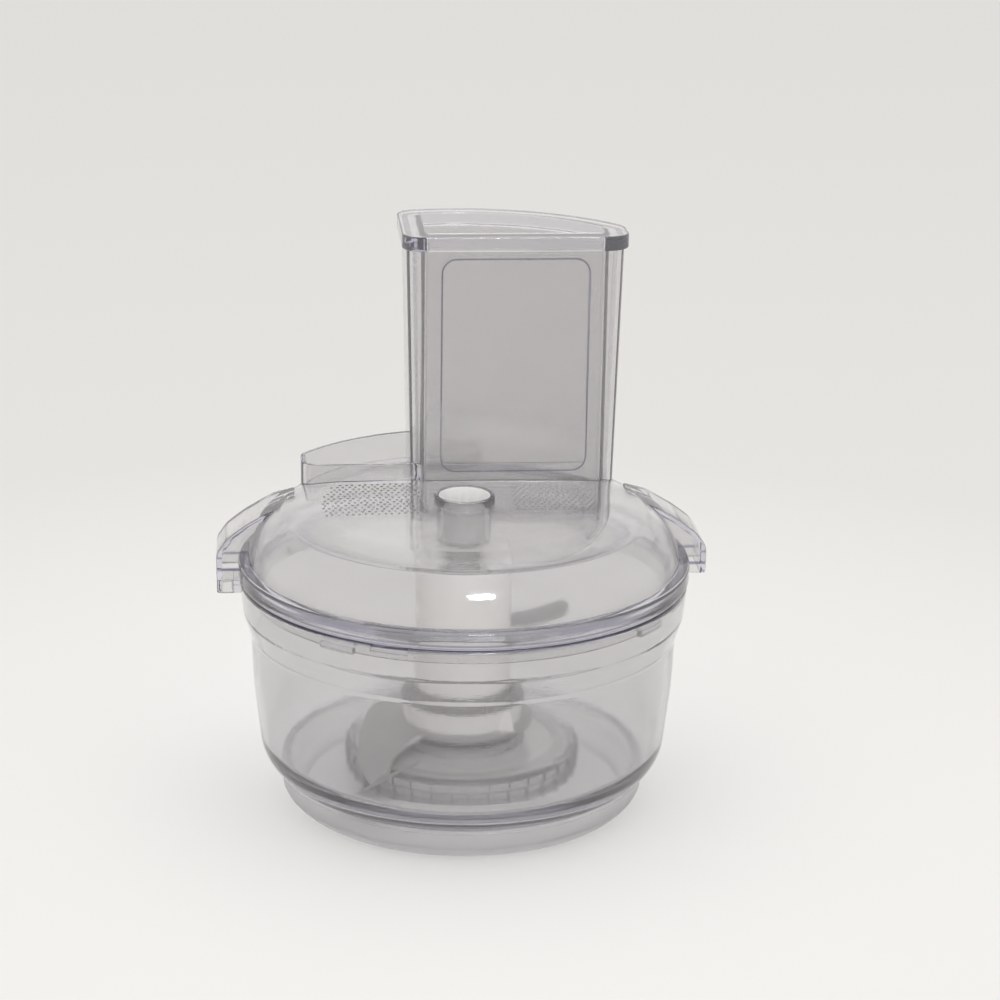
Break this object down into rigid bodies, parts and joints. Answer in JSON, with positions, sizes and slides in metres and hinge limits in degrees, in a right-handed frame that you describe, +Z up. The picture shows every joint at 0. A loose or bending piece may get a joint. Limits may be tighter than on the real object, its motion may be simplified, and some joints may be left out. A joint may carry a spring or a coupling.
{
  "type": "food processor bowl",
  "caption": "Clear food processor bowl for a blender base, with domed lid, feed chute, pusher, and a bladed hub on a driven shaft.",
  "frame": {"origin": "centre of the foot ring's underside, on the drive axis", "axes": "+Z up along the drive axis; the flat front of the feed chute faces -Y; the lid's ears stand out along -X and +X"},
  "size_m": [0.1768, 0.1612, 0.2005],
  "materials": {
    "clear_plastic": "clear, polished",
    "white_plastic": "moulded, soft gloss",
    "steel": "brushed",
    "bush_bronze": "machined",
    "seal_rubber": "moulded silicone",
    "coupling_plastic": "moulded nylon",
    "bush_plastic": "machined"
  },
  "bodies": {
    "bowl": {"bowl": "clear_plastic", "retaining_collar": "clear_plastic", "bearing_housing": "clear_plastic", "housing_gasket": "seal_rubber", "lower_bush": "bush_plastic", "upper_bush": "bush_plastic", "shaft_seal": "seal_rubber"},
    "drive": {"drive_shaft": "steel", "retaining_clip": "steel", "thrust_washer": "steel", "drive_coupling": "coupling_plastic", "hub_column": "white_plastic", "hub_insert": "bush_bronze", "hub_spigot": "steel", "lower_blade": "steel", "upper_blade": "steel", "base_washer": "steel", "clamp_ring": "steel", "blade_rivets": "steel", "blade_collar": "white_plastic"},
    "bush": {"lid_bush": "bush_plastic"},
    "lid": {"lid": "clear_plastic"},
    "pusher": {"pusher": "clear_plastic"}
  },
  "joints": [
    {"name": "drive_spin", "type": "hinge", "parent": "bowl", "child": "drive", "pos_m": [0, 0, 0.02], "axis": [0, 0, 1], "continuous": true},
    {"name": "lid_lift", "type": "slide", "parent": "bowl", "child": "bush", "axis": [0, 0, 1], "range_m": [0, 0.12]},
    {"name": "lid_turn", "type": "hinge", "parent": "bush", "child": "lid", "pos_m": [0, 0, 0.1], "axis": [0, 0, 1], "range_deg": [0, 15]},
    {"name": "pusher_slide", "type": "slide", "parent": "lid", "child": "pusher", "axis": [0, 0, 1], "range_m": [0, 0.105]}
  ]
}
